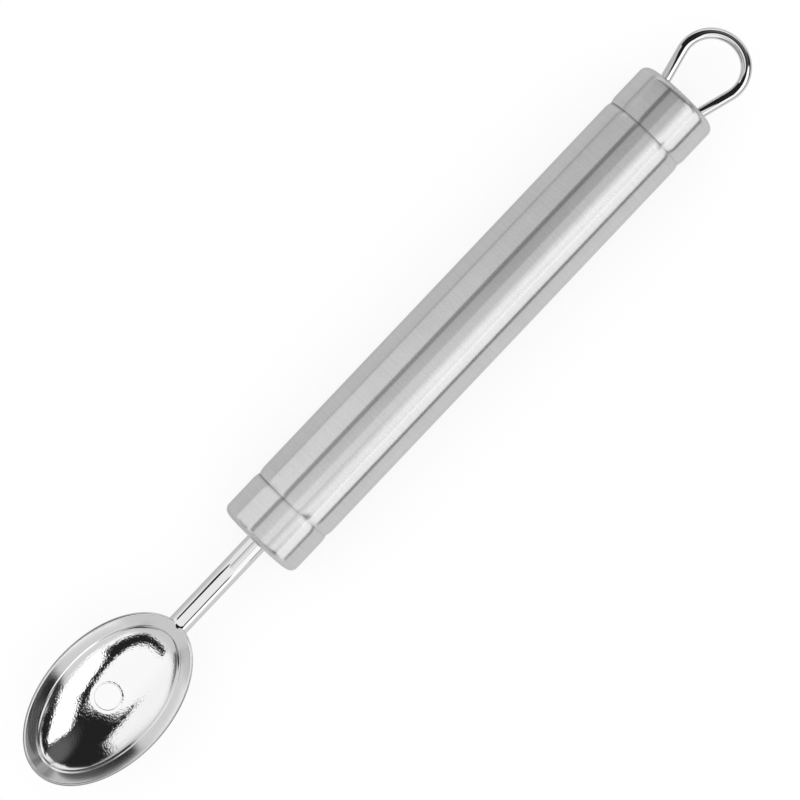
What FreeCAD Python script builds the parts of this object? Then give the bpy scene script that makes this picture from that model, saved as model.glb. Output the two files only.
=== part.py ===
import FreeCAD, Part
import math
import os

import Sketcher

# Melon baller: a pressed oval bowl on a round stem, a hollow handle of a tube and two drawn caps, and
# a wire loop. The tool lies along X, with the bowl at -X and open upwards and the loop at +X. The origin
# is under the middle of its length, on the surface that the handle lies on. Sizes are in millimetres and
# degrees.

SIZES = [
    # Handle: one sheet gauge for the tube and both caps, whose edges are rolled in where they meet
    ("grip_diameter", 16.0),
    ("grip_length", 86.8),
    ("cap_length", 8.8),
    ("cap_corner", 1.1),
    ("wall", 0.8),
    ("seam_width", 1.4),
    ("seam_depth", 0.25),
    # Plugs: moulded round the stem's tang and the wire's legs, and bonded into caps and tube
    ("plug_reach", 10.0),
    ("plug_chamfer", 0.6),
    ("bond_gap", 0.05),
    # Stem: a round rod, with a head at the inner end of its tang
    ("stem_diameter", 4.0),
    ("stem_length", 19.1),
    ("tang_length", 13.0),
    ("head_diameter", 7.0),
    ("head_thickness", 1.5),
    # Bowl: a flared rim, a crease and a rounded dish with a vent, tipped up towards its front
    ("bowl_length", 35.0),
    ("bowl_width", 22.0),
    ("bowl_sheet", 0.6),
    ("flare_width", 2.1),
    ("flare_angle", 45.0),
    ("dish_depth", 4.0),
    ("vent_diameter", 4.5),
    ("bowl_pitch", 4.0),
    ("lip_rise", 0.2),
    ("weld_bead", 0.8),
    # Hanging loop: bent wire, widest at its outer arc, with its feet turned out inside the plug
    ("wire_diameter", 2.0),
    ("loop_width", 13.6),
    ("loop_reach", 14.6),
    ("leg_spacing", 8.2),
    ("leg_bend", 3.0),
    ("leg_depth", 11.0),
    ("foot_bend", 1.5),
    ("foot_length", 0.6),
    # How far a cutting shape runs past what it cuts
    ("overrun", 1.0),
]

# Places that several pieces share, as expressions on the sizes
GRIP_RADIUS = "(Sizes.grip_diameter / 2)"
STEM_RADIUS = "(Sizes.stem_diameter / 2)"
WIRE_RADIUS = "(Sizes.wire_diameter / 2)"
AXIS_HEIGHT = GRIP_RADIUS
BOWL_REACH = "(Sizes.bowl_length * cos(Sizes.bowl_pitch))"
HANDLE_LENGTH = "(2 * Sizes.cap_length + Sizes.grip_length)"
HALF_LENGTH = f"(({BOWL_REACH} + Sizes.stem_length + {HANDLE_LENGTH} + Sizes.loop_reach) / 2)"
REAR_FACE = f"({HALF_LENGTH} - Sizes.loop_reach)"
FRONT_FACE = f"({REAR_FACE} - {HANDLE_LENGTH})"
PLUG_LENGTH = "(Sizes.cap_length - Sizes.wall + Sizes.plug_reach)"

# Bowl sections, measured from the plane of the outermost edge: the lip is square to the flare
LIP_INSET = "(Sizes.bowl_sheet * sin(Sizes.flare_angle))"
LIP_HEIGHT = "(Sizes.bowl_sheet * cos(Sizes.flare_angle))"
CREASE_INSET = f"({LIP_INSET} + Sizes.flare_width)"
CREASE_HEIGHT = f"({LIP_HEIGHT} - Sizes.flare_width * tan(Sizes.flare_angle))"
SHOULDER_INSET = "Sizes.flare_width"
SHOULDER_HEIGHT = "(-Sizes.flare_width * tan(Sizes.flare_angle))"
OUTER_DEPTH = f"({SHOULDER_HEIGHT} - {CREASE_HEIGHT} + Sizes.dish_depth + Sizes.bowl_sheet)"
BOWL_CENTRE = f"({FRONT_FACE} - Sizes.stem_length - {BOWL_REACH} / 2)"
BOWL_HEIGHT = (
    f"({AXIS_HEIGHT} + {STEM_RADIUS} + Sizes.lip_rise - {LIP_HEIGHT}"
    " + Sizes.bowl_length / 2 * sin(Sizes.bowl_pitch))"
)

# Ovals that the dish is drawn through, as shares of its width at the crease; the vent cuts out the last
OVAL_SHARES = (1.0, 0.92, 0.82, 0.7, 0.56, 0.4, 0.24, 0.1)

doc = FreeCAD.newDocument("melon_baller")
sheet = doc.addObject("Spreadsheet::Sheet", "Sizes")
for row, (alias, number) in enumerate(SIZES, start=1):
    sheet.set(f"A{row}", alias)
    sheet.set(f"B{row}", str(number))
    sheet.setAlias(f"B{row}", alias)
doc.recompute()


def value(expression):
    """The number that an expression on the sizes gives now."""
    return float(sheet.evalExpression(expression))


def bind(feature, **expressions):
    """Tie properties of a feature to expressions; two underscores stand for the dot of a sub-property."""
    for name, expression in expressions.items():
        feature.setExpression(name.replace("__", "."), expression)


def place(feature, x="0", y="0", z="0"):
    """Tie the place of a feature to expressions."""
    bind(feature, Placement__Base__x=x, Placement__Base__y=y, Placement__Base__z=z)


def new_body(name):
    """An empty body with the label that names its piece."""
    body = doc.addObject("PartDesign::Body", name)
    body.Label = name
    return body


def origin_plane(body, role):
    """One of the body's own three planes."""
    return next(feature for feature in body.Origin.OriginFeatures if feature.Role == role)


def new_sketch(body, name, role):
    """An empty sketch on one of the body's own planes."""
    sketch = body.newObject("Sketcher::SketchObject", name)
    sketch.AttachmentSupport = [(origin_plane(body, role), "")]
    sketch.MapMode = "FlatFace"
    return sketch


def end_near(sketch, edge, spot):
    """Which end of a sketch edge lies at the spot: 1 for its start, 2 for its end."""
    gaps = [(sketch.getPoint(edge, end) - spot).Length for end in (1, 2)]
    return 1 + gaps.index(min(gaps))


def tie_point(sketch, edge, end, x, y):
    """Hold a sketch point at two expressions from the sketch's origin; "0" holds it on an axis."""
    for kind, axis, expression in (("DistanceX", -2, x), ("DistanceY", -1, y)):
        if expression == "0":
            sketch.addConstraint(Sketcher.Constraint("PointOnObject", edge, end, axis))
        else:
            rule = Sketcher.Constraint(kind, -1, 1, edge, end, value(expression))
            index = sketch.addConstraint(rule)
            sketch.setExpression(f"Constraints[{index}]", expression)


def arc_touching(first, last, touch):
    """The arc between two spots whose tangent at the touching one is parallel to the sketch's X axis."""
    other = last if touch == first else first
    rise = other - touch
    radius = (rise.x ** 2 + rise.y ** 2) / (2 * rise.y)
    centre = touch + FreeCAD.Vector(0, radius, 0)
    bulge = (first - centre) + (last - centre)
    middle = centre + bulge.normalize() * abs(radius)
    return Part.Arc(first, middle, last)


def outline(sketch, corners):
    """A closed outline. Each corner is x, y and the edge that leaves it: a line, or an arc that is tangent
    to the line before it ("arc_after_line") or to the line after it ("arc_before_line")."""
    spots = [FreeCAD.Vector(value(x), value(y), 0) for x, y, edge in corners]
    count = len(corners)
    edges = []
    for index, (x, y, edge) in enumerate(corners):
        first = spots[index]
        last = spots[(index + 1) % count]
        if edge == "line":
            shape = Part.LineSegment(first, last)
        else:
            shape = arc_touching(first, last, first if edge == "arc_after_line" else last)
        edges.append(sketch.addGeometry(shape, False))
    for index, (x, y, edge) in enumerate(corners):
        before = edges[index - 1]
        after = edges[index]
        before_end = end_near(sketch, before, spots[index])
        after_end = end_near(sketch, after, spots[index])
        smooth = edge == "arc_after_line" or corners[index - 1][2] == "arc_before_line"
        kind = "Tangent" if smooth else "Coincident"
        sketch.addConstraint(Sketcher.Constraint(kind, before, before_end, after, after_end))
        tie_point(sketch, after, after_end, x, y)


def revolve(body, corners):
    """Turn an outline, drawn as length against radius, once round the X axis."""
    sketch = new_sketch(body, body.Label + "_section", "XY_Plane")
    outline(sketch, corners)
    turned = body.newObject("PartDesign::Revolution", body.Label + "_turned")
    turned.Profile = sketch
    turned.ReferenceAxis = (sketch, ["H_Axis"])
    turned.Angle = 360
    return turned


def add_circle(sketch, x, y, radius):
    """A circle whose centre and radius follow expressions."""
    centre = FreeCAD.Vector(value(x), value(y), 0)
    edge = sketch.addGeometry(Part.Circle(centre, FreeCAD.Vector(0, 0, 1), value(radius)), False)
    tie_point(sketch, edge, 3, x, y)
    index = sketch.addConstraint(Sketcher.Constraint("Radius", edge, value(radius)))
    sketch.setExpression(f"Constraints[{index}]", radius)


def cut(name, base, *tools):
    """The base with each tool taken out of it in turn."""
    for number, tool in enumerate(tools, start=1):
        result = doc.addObject("Part::Cut", f"{name}_cut_{number}")
        result.Base = base
        result.Tool = tool
        base = result
    base.Label = name
    return base


# Handle


def build_grip_tube():
    """A plain tube whose two ends are rolled in a little, so that each seam is a shallow vee."""
    body = new_body("grip_tube")
    bore = f"({GRIP_RADIUS} - Sizes.wall)"
    mouth = f"({GRIP_RADIUS} - Sizes.seam_depth)"
    revolve(body, [
        ("0", mouth, "arc_before_line"),
        ("Sizes.seam_width", GRIP_RADIUS, "line"),
        ("Sizes.grip_length - Sizes.seam_width", GRIP_RADIUS, "arc_after_line"),
        ("Sizes.grip_length", mouth, "line"),
        ("Sizes.grip_length", bore, "line"),
        ("0", bore, "line"),
    ])
    place(body, x=f"{FRONT_FACE} + Sizes.cap_length", z=AXIS_HEIGHT)
    return body


def build_cap(name, hole):
    """A drawn cup with a round corner and a rolled-in mouth. Its closed end is at zero and may have a
    round hole."""
    body = new_body(name)
    bore = f"({GRIP_RADIUS} - Sizes.wall)"
    revolve(body, [
        ("0", hole, "line"),
        ("0", f"({GRIP_RADIUS} - Sizes.cap_corner)", "arc_before_line"),
        ("Sizes.cap_corner", GRIP_RADIUS, "line"),
        ("Sizes.cap_length - Sizes.seam_width", GRIP_RADIUS, "arc_after_line"),
        ("Sizes.cap_length", f"({GRIP_RADIUS} - Sizes.seam_depth)", "line"),
        ("Sizes.cap_length", bore, "line"),
        ("Sizes.wall", bore, "line"),
        ("Sizes.wall", hole, "line"),
    ])
    return body


def build_front_cap():
    """The cap with the stem through the middle of its end wall."""
    body = build_cap("front_cap", f"({STEM_RADIUS} + Sizes.bond_gap)")
    place(body, x=FRONT_FACE, z=AXIS_HEIGHT)
    return body


def build_rear_cap():
    """The cap with two holes for the legs of the loop, side by side; it faces the other way."""
    body = build_cap("rear_cap", "0")
    holes = new_sketch(body, "leg_holes", "YZ_Plane")
    for side in ("Sizes.leg_spacing / 2", "-Sizes.leg_spacing / 2"):
        add_circle(holes, side, "0", f"({WIRE_RADIUS} + Sizes.bond_gap)")
    pocket = body.newObject("PartDesign::Pocket", "leg_hole_pocket")
    pocket.Profile = holes
    pocket.Reversed = True
    bind(pocket, Length="Sizes.wall + Sizes.overrun")
    place(body, x=REAR_FACE, z=AXIS_HEIGHT)
    body.Placement.Rotation = FreeCAD.Rotation(FreeCAD.Vector(0, 0, 1), 180)
    return body


def build_plug_blank(name):
    """A round plug from the inside of a cap's end wall to its reach in the tube; both edges have a
    chamfer."""
    body = new_body(name)
    radius = f"({GRIP_RADIUS} - Sizes.wall - Sizes.bond_gap)"
    eased = f"({radius} - Sizes.plug_chamfer)"
    revolve(body, [
        ("0", "0", "line"),
        ("0", eased, "line"),
        ("Sizes.plug_chamfer", radius, "line"),
        (f"{PLUG_LENGTH} - Sizes.plug_chamfer", radius, "line"),
        (PLUG_LENGTH, eased, "line"),
        (PLUG_LENGTH, "0", "line"),
    ])
    return body


def build_front_plug(rod):
    """The plug moulded round the tang and head of the stem."""
    blank = build_plug_blank("front_plug_blank")
    place(blank, x=f"{FRONT_FACE} + Sizes.wall", z=AXIS_HEIGHT)
    return cut("front_plug", blank, rod)


def build_rear_plug(loop):
    """The plug moulded round the legs and feet of the loop."""
    blank = build_plug_blank("rear_plug_blank")
    place(blank, x=f"{REAR_FACE} - Sizes.wall - {PLUG_LENGTH}", z=AXIS_HEIGHT)
    return cut("rear_plug", blank, loop)


# Bowl, stem and the weld between them


def section(name, inset, height):
    """An oval the size of the bowl's outermost edge, drawn in by the inset."""
    oval = doc.addObject("Part::Ellipse", name)
    half_length = f"Sizes.bowl_length / 2 - {inset}"
    half_width = f"Sizes.bowl_width / 2 - {inset}"
    bind(oval, MajorRadius=half_length, MinorRadius=half_width)
    place(oval, z=height)
    return oval


class Dish:
    """A dish under the oval of an inset. Its cross-section is a parabola, and towards its ends the ovals
    draw out, so that the wall comes up to the crease at about the same angle all round."""

    def __init__(self, inset, height, depth):
        self.half_length = f"(Sizes.bowl_length / 2 - {inset})"
        self.half_width = f"(Sizes.bowl_width / 2 - {inset})"
        self.depth = depth
        self.bottom = f"({height} - {depth})"

    def reach(self, share):
        """Half the length of the oval that has this share of the full width."""
        bulge = f"({self.half_length} - {self.half_width}) * {share} ^ 2 * (1 - {share})"
        return f"({self.half_length} * {share} + {bulge})"

    def share_at(self, rise):
        """The share of the full width that the dish has at a rise over its bottom."""
        return f"sqrt({rise} / {self.depth})"

    def oval(self, name, share):
        """The oval of this share, at its height in the dish."""
        made = doc.addObject("Part::Ellipse", name)
        bind(made, MajorRadius=self.reach(share), MinorRadius=f"{self.half_width} * {share}")
        place(made, z=f"{self.bottom} + {self.depth} * {share} ^ 2")
        return made

    def form(self, name):
        """The dish filled in, as a smooth loft through its ovals."""
        loft = doc.addObject("Part::Loft", name)
        loft.Sections = [
            self.oval(f"{name}_oval_{number}", share)
            for number, share in enumerate(OVAL_SHARES, start=1)
        ]
        loft.Solid = True
        return loft


INNER_DISH = Dish(CREASE_INSET, CREASE_HEIGHT, "Sizes.dish_depth")
OUTER_DISH = Dish(SHOULDER_INSET, SHOULDER_HEIGHT, OUTER_DEPTH)


def creased_form(name, ovals, dish):
    """A ruled loft through ovals, joined at the crease to the dish below them."""
    flare = doc.addObject("Part::Loft", name + "_flare")
    flare.Sections = ovals
    flare.Solid = True
    flare.Ruled = True
    joined = doc.addObject("Part::Fuse", name)
    joined.Base = flare
    joined.Tool = dish.form(name + "_dish")
    joined.Refine = True
    return joined


def seat_bowl(form):
    """Put a form drawn about the middle of the bowl's edge in its place, tipped up towards the front."""
    place(form, x=BOWL_CENTRE, z=BOWL_HEIGHT)
    form.Placement.Rotation = FreeCAD.Rotation(FreeCAD.Vector(0, 1, 0), value("Sizes.bowl_pitch"))
    bind(form, Placement__Rotation__Angle="Sizes.bowl_pitch")


def build_bowl_form():
    """The bowl's outside, filled in: the lip, the flare, the shoulder under it and the dish."""
    ovals = [
        section("outer_shoulder", SHOULDER_INSET, SHOULDER_HEIGHT),
        section("outer_edge", "0", "0"),
        section("outer_lip", LIP_INSET, LIP_HEIGHT),
    ]
    form = creased_form("bowl_form", ovals, OUTER_DISH)
    seat_bowl(form)
    return form


def build_bowl_hollow():
    """The bowl's inside, as a form that runs on past the lip."""
    spread = f"({LIP_INSET} - Sizes.overrun / tan(Sizes.flare_angle))"
    ovals = [
        section("inner_crease", CREASE_INSET, CREASE_HEIGHT),
        section("inner_lip", LIP_INSET, LIP_HEIGHT),
        section("inner_overrun", spread, f"{LIP_HEIGHT} + Sizes.overrun"),
    ]
    hollow = creased_form("bowl_hollow", ovals, INNER_DISH)
    seat_bowl(hollow)
    return hollow


def build_vent():
    """The round hole through the bottom of the dish, square to the bowl's edge."""
    vent = doc.addObject("Part::Cylinder", "vent")
    bind(vent, Radius="Sizes.vent_diameter / 2", Height="2 * Sizes.dish_depth")
    punch = doc.addObject("Part::Compound", "vent_punch")
    place(vent, z=f"{CREASE_HEIGHT} - 2 * Sizes.dish_depth")
    punch.Links = [vent]
    seat_bowl(punch)
    return punch


def build_stem_rod():
    """A round rod from the middle of the bowl to the head of its tang."""
    body = new_body("stem_rod")
    shank = f"(Sizes.stem_length + {BOWL_REACH} / 2)"
    head_start = f"({shank} + Sizes.tang_length - Sizes.head_thickness)"
    tail = f"({shank} + Sizes.tang_length)"
    revolve(body, [
        ("0", "0", "line"),
        ("0", STEM_RADIUS, "line"),
        (head_start, STEM_RADIUS, "line"),
        (head_start, "Sizes.head_diameter / 2", "line"),
        (tail, "Sizes.head_diameter / 2", "line"),
        (tail, "0", "line"),
    ])
    place(body, x=BOWL_CENTRE, z=AXIS_HEIGHT)
    return body


def build_bowl_weld(rod, bowl_form):
    """A bead round the underside of the stem, where it meets the wall of the dish."""
    bead = doc.addObject("Part::Torus", "weld_ring")
    bind(bead, Radius1=STEM_RADIUS, Radius2="Sizes.weld_bead")
    bead.Angle3 = 180
    drop = f"(Sizes.stem_diameter + Sizes.lip_rise - {LIP_HEIGHT} + {SHOULDER_HEIGHT})"
    wall_reach = OUTER_DISH.reach(OUTER_DISH.share_at(f"({OUTER_DEPTH} - {drop})"))
    place(bead, x=f"{BOWL_CENTRE} + {wall_reach} * cos(Sizes.bowl_pitch)", z=AXIS_HEIGHT)
    across = FreeCAD.Vector(0, -1, 0)
    down = FreeCAD.Vector(0, 0, -1)
    bead.Placement.Rotation = FreeCAD.Rotation(across, down, across.cross(down))
    return cut("bowl_weld", bead, rod, bowl_form)


# Hanging loop


def leg_path(sketch):
    """Half of the loop's centre line: the outer arc, the leaning leg, its bend into the cap and the
    foot."""
    arc_radius = f"(Sizes.loop_width / 2 - {WIRE_RADIUS})"
    arc_centre = "(Sizes.loop_reach - Sizes.loop_width / 2)"
    leg = "Sizes.leg_spacing / 2"
    depth = "(Sizes.leg_depth - Sizes.foot_bend)"
    big = value(arc_radius)
    middle = value(arc_centre)
    bend = value("Sizes.leg_bend")
    side = value(leg)
    toe = value("Sizes.foot_bend")
    inner = -value(depth)
    span = math.hypot(middle, side + bend)
    lean = math.asin((big + bend) / span) - math.atan2(side + bend, middle)

    def spot(x, y):
        return FreeCAD.Vector(x, y, 0)

    def arc(centre_x, centre_y, radius, start, end):
        circle = Part.Circle(spot(centre_x, centre_y), FreeCAD.Vector(0, 0, 1), radius)
        return sketch.addGeometry(Part.ArcOfCircle(circle, start, end), False)

    def line(first, last):
        return sketch.addGeometry(Part.LineSegment(first, last), False)

    apex = spot(middle + big, 0)
    top = spot(middle - big * math.sin(lean), big * math.cos(lean))
    low = spot(bend * math.sin(lean), side + bend - bend * math.cos(lean))
    entry = spot(0, side)
    heel = spot(inner, side)
    sole = spot(inner - toe, side + toe)
    tip = spot(inner - toe, side + toe + value("Sizes.foot_length"))
    outer_arc = arc(middle, 0, big, 0, math.pi / 2 + lean)
    leaning = line(top, low)
    bend_arc = arc(0, side + bend, bend, -math.pi / 2, lean - math.pi / 2)
    straight = line(entry, heel)
    foot_arc = arc(inner, side + toe, toe, math.pi, 3 * math.pi / 2)
    foot = line(sole, tip)
    chain = [outer_arc, leaning, bend_arc, straight, foot_arc, foot]
    for before, after, meeting in zip(chain, chain[1:], [top, low, entry, heel, sole]):
        ends = (before, end_near(sketch, before, meeting), after, end_near(sketch, after, meeting))
        sketch.addConstraint(Sketcher.Constraint("Tangent", *ends))
    tie_point(sketch, outer_arc, 3, arc_centre, "0")
    crown = end_near(sketch, outer_arc, apex)
    sketch.addConstraint(Sketcher.Constraint("PointOnObject", outer_arc, crown, -1))
    sketch.addConstraint(Sketcher.Constraint("Horizontal", straight))
    tie_point(sketch, straight, 1, "0", leg)
    for edge, kind, size in (
        (outer_arc, "Radius", arc_radius),
        (bend_arc, "Radius", "Sizes.leg_bend"),
        (straight, "Distance", depth),
        (foot_arc, "Radius", "Sizes.foot_bend"),
        (foot, "Distance", "Sizes.foot_length"),
    ):
        index = sketch.addConstraint(Sketcher.Constraint(kind, edge, value(size)))
        sketch.setExpression(f"Constraints[{index}]", size)
    sketch.addConstraint(Sketcher.Constraint("Vertical", foot))


def build_hanging_loop():
    """Round wire swept along half the loop and mirrored; the face of the rear cap is at zero."""
    body = new_body("hanging_loop")
    path = new_sketch(body, "leg_path", "XY_Plane")
    leg_path(path)
    wire = new_sketch(body, "wire_section", "XZ_Plane")
    add_circle(wire, f"Sizes.loop_reach - {WIRE_RADIUS}", "0", WIRE_RADIUS)
    doc.recompute()
    pipe = body.newObject("PartDesign::AdditivePipe", "half_loop")
    pipe.Profile = wire
    pipe.Spine = (path, [f"Edge{number}" for number in range(1, 1 + path.GeometryCount)])
    doc.recompute()
    mirrored = body.newObject("PartDesign::Mirrored", "whole_loop")
    mirrored.Originals = [pipe]
    mirrored.MirrorPlane = (origin_plane(body, "XZ_Plane"), [""])
    body.Tip = mirrored
    place(body, x=REAR_FACE, z=AXIS_HEIGHT)
    return body


def build():
    """Every piece of the tool, from the bowl to the loop."""
    bowl_form = build_bowl_form()
    rod = build_stem_rod()
    loop = build_hanging_loop()
    return [
        cut("scoop_bowl", bowl_form, build_bowl_hollow(), build_vent()),
        build_bowl_weld(rod, bowl_form),
        cut("stem", rod, bowl_form),
        build_front_cap(),
        build_front_plug(rod),
        build_grip_tube(),
        build_rear_plug(loop),
        build_rear_cap(),
        loop,
    ]


pieces = build()
doc.recompute()
for feature in doc.Objects:
    faults = [state for state in feature.State if state in ("Invalid", "Error")]
    if faults:
        raise RuntimeError(f"{feature.Label} failed: {faults}")
for piece in pieces:
    if piece.Shape.isNull() or not piece.Shape.isValid() or len(piece.Shape.Solids) != 1:
        raise RuntimeError(f"{piece.Label} is not one sound solid")
os.makedirs("parts", exist_ok=True)
for piece in pieces:
    piece.Shape.exportStep(f"parts/{piece.Label}.step")
    box = piece.Shape.optimalBoundingBox(False, False)
    print(f"{piece.Label}: {piece.Shape.Volume:.1f} mm3, X {box.XMin:.2f} to {box.XMax:.2f},"
          f" Y {box.YMin:.2f} to {box.YMax:.2f}, Z {box.ZMin:.2f} to {box.ZMax:.2f}")
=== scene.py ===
import math

import bmesh
import bpy
import numpy as np
from mathutils import Matrix, Vector


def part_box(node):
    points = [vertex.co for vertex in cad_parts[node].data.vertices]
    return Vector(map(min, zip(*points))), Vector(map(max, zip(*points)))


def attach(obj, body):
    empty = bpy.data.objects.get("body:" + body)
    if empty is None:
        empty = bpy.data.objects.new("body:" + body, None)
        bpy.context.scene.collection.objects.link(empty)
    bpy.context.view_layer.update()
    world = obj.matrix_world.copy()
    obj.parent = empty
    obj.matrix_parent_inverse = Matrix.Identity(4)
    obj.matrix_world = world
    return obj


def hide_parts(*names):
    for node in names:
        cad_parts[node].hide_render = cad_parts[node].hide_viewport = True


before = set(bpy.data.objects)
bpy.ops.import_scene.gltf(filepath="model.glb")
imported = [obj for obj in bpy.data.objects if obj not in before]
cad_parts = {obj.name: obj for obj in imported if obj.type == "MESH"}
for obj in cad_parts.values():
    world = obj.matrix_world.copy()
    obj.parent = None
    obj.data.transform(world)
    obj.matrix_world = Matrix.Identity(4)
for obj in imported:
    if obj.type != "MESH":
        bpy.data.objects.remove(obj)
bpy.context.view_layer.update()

# Melon baller: a mirror-polished pressed bowl on a round stem, a satin handle and a wire loop.
# The tool lies along X, with the bowl at -X and open upwards. All lengths are in metres.

MM = 0.001

# Handle, from the frame: the tube gives the axis and the radius, the caps give the two ends
TUBE_LOW, TUBE_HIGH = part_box("grip_tube")
FRONT_LOW, FRONT_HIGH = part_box("front_cap")
REAR_LOW, REAR_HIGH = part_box("rear_cap")
GRIP_RADIUS = (TUBE_HIGH.y - TUBE_LOW.y) / 2
AXIS_HEIGHT = (TUBE_HIGH.z + TUBE_LOW.z) / 2
SHEET_WALL = 0.8 * MM
CAP_CORNER = 1.4 * MM
SEAM_WIDTH = 1.4 * MM
SEAM_DEPTH = 0.25 * MM
SEAM_FADE = 0.5 * MM
HANDLE_SIDES = 192

# Stem and weld
STEM_LOW, STEM_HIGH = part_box("stem")
STEM_RADIUS = 2.0 * MM
HEAD_RADIUS = (STEM_HIGH.y - STEM_LOW.y) / 2
HEAD_THICKNESS = 1.5 * MM
WELD_RADIUS = 0.65 * MM
WELD_SPAN = math.radians(115.0)
WELD_LAPS = 5
WELD_LAP_SHARE = 0.08

# Bowl: sizes in its own frame, whose origin is the middle of the outermost edge
BOWL_LOW, BOWL_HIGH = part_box("scoop_bowl")
BOWL_PITCH = math.radians(4.0)
BOWL_HALF_LENGTH = 17.5 * MM
BOWL_HALF_WIDTH = 11.0 * MM
BOWL_SHEET = 0.6 * MM
FLARE_WIDTH = 2.1 * MM
FLARE_ANGLE = math.radians(45.0)
DISH_DEPTH = 4.0 * MM
LIP_ROUND = 0.24 * MM
LIP_RISE = 0.2 * MM
REAR_DROP = 0.35 * MM
DISH_ASIDE = 0.34 * MM
RIDGE_HEIGHT = 0.05 * MM
RIDGE_WIDTH = 0.22 * MM
VENT_RADIUS = 2.25 * MM
VENT_EDGE = 0.14 * MM
VENT_RIM_WIDTH = 0.7 * MM
VENT_RIM_HEIGHT = 0.09 * MM
CREASE_GAP = 0.04 * MM
PEEL_END_SHARE = 0.97
PEEL_FADE_SHARE = 0.1
LIP_SWEEP = 80
BOWL_SIDES = 288
DISH_ROWS = 110
FLARE_ROWS = 26
LIP_ROWS = 7
UNDER_ROWS = 10
OUTSIDE_ROWS = 40
VENT_ROWS = 6

# Hanging loop
LOOP_LOW, LOOP_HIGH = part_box("hanging_loop")
WIRE_RADIUS = (LOOP_HIGH.z - LOOP_LOW.z) / 2
LOOP_HALF_WIDTH = LOOP_HIGH.y
LEG_OFFSET = 4.1 * MM
LEG_BEND = 3.0 * MM
FOOT_BEND = 1.5 * MM
FOOT_LENGTH = 0.6 * MM
LOOP_ASIDE = 0.34 * MM
LOOP_LEAN = 0.022
LOOP_SHORT = 0.97

# Photograph's view: straight down on the tool, which runs up to the right
PHOTO_SIDE = 800
FOCAL_PIXELS = 3500.0
PIXEL_SIZE = 0.1702 * MM
AXIS_SLOPE = math.radians(46.51)
VIEW_CENTRE = (1.7 * MM, -1.02 * MM)


# Shader maths


class Wire:
    """An output socket of a node tree. Arithmetic on wires and numbers adds Math nodes."""

    def __init__(self, tree, socket=None):
        self.tree = tree
        self.socket = socket

    def node(self, kind, settings=None, inputs=None, output=0):
        """A new node with these settings, then these values or links on its sockets; gives one output."""
        made = self.tree.nodes.new(kind)
        for name, setting in (settings or {}).items():
            setattr(made, name, setting)
        for name, given in (inputs or {}).items():
            if isinstance(given, Wire):
                self.tree.links.new(given.socket, made.inputs[name])
            else:
                made.inputs[name].default_value = given
        return Wire(self.tree, made.outputs[output]) if made.outputs else None

    def maths(self, operation, first, second):
        return self.node("ShaderNodeMath", {"operation": operation}, {0: first, 1: second})

    def __add__(self, other):
        return self.maths("ADD", self, other)

    def __radd__(self, other):
        return self.maths("ADD", other, self)

    def __sub__(self, other):
        return self.maths("SUBTRACT", self, other)

    def __rsub__(self, other):
        return self.maths("SUBTRACT", other, self)

    def __mul__(self, other):
        return self.maths("MULTIPLY", self, other)

    def __rmul__(self, other):
        return self.maths("MULTIPLY", other, self)

    def __truediv__(self, other):
        return self.maths("DIVIDE", self, other)

    def __rtruediv__(self, other):
        return self.maths("DIVIDE", other, self)

    def most(self, other):
        return self.maths("MAXIMUM", self, other)

    def step(self, soft):
        """0 where the value is under -soft and 1 where it is over soft, with a smooth rise between."""
        ends = {"Value": self, "From Min": -soft, "From Max": soft}
        return self.node("ShaderNodeMapRange", {"interpolation_type": "SMOOTHSTEP"}, ends)

    def noise(self, vector, scale, detail=2.0, roughness=0.5):
        """Smooth noise about 0.5, with features of about 1 over the scale, in metres."""
        inputs = {"Vector": vector, "Scale": scale, "Detail": detail, "Roughness": roughness}
        return self.node("ShaderNodeTexNoise", None, inputs)

    def stretched(self, vector, scale):
        """Coordinates multiplied by a scale along each axis."""
        return self.node("ShaderNodeMapping", None, {"Vector": vector, "Scale": scale})

    def blend(self, share, first, second):
        """A colour between two colours."""
        inputs = {"Factor": share, "A": first, "B": second}
        return self.node("ShaderNodeMix", {"data_type": "RGBA"}, inputs, 2)


def new_material(name):
    """An empty material, and a wire that starts its shader maths."""
    material = bpy.data.materials.new(name)
    material.use_nodes = True
    material.node_tree.nodes.clear()
    return material, Wire(material.node_tree)


def set_surface(start, shader):
    start.node("ShaderNodeOutputMaterial", None, {"Surface": shader})


def object_place(start):
    return start.node("ShaderNodeTexCoord", None, None, "Object")


def marked(start, name):
    """A mesh's own mark, from 0 to 1 or in millimetres, and 0 on a mesh that has none."""
    return start.node("ShaderNodeAttribute", {"attribute_name": name}, None, "Fac")


def bumped(start, height, depth):
    """A normal from a height that runs from 0 to 1 over the depth."""
    return start.node("ShaderNodeBump", None, {"Strength": 1.0, "Distance": depth, "Height": height})


# Materials

TRIM = "trimmed_edge"
PRESSED = "pressed_dish"
SEAM = "seam_shadow"
BUFFED = "buffed_flare"
INSET = "inset_from_edge"
DRAWN = "drawn_rod"

# Depths of the finishes, in metres, and their greys, with the grey of the painted shade in the handle's
# grooves
PEEL_DEPTH = 18e-6
BRUSH_DEPTH = 1.6e-6
WELD_DEPTH = 6.0e-6
MOULD_DEPTH = 4.0e-6
BRUSHED_GREYS = (0.46, 0.72)
# Grey of the painted shade in the grooves at the handle's seams
SEAM_SHADE_GREY = 0.1
MIRROR_GREYS = (0.74, 0.80)
DRAWN_GREY = 0.66
BUFFED_GREY = 0.64
TRIM_GREY = 0.3
NYLON_GREYS = (0.022, 0.034)
WELD_STRAW = (0.50, 0.46, 0.39, 1.0)
WELD_BLUE = (0.42, 0.43, 0.47, 1.0)


def grey(level):
    return (level, level, level, 1.0)


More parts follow.
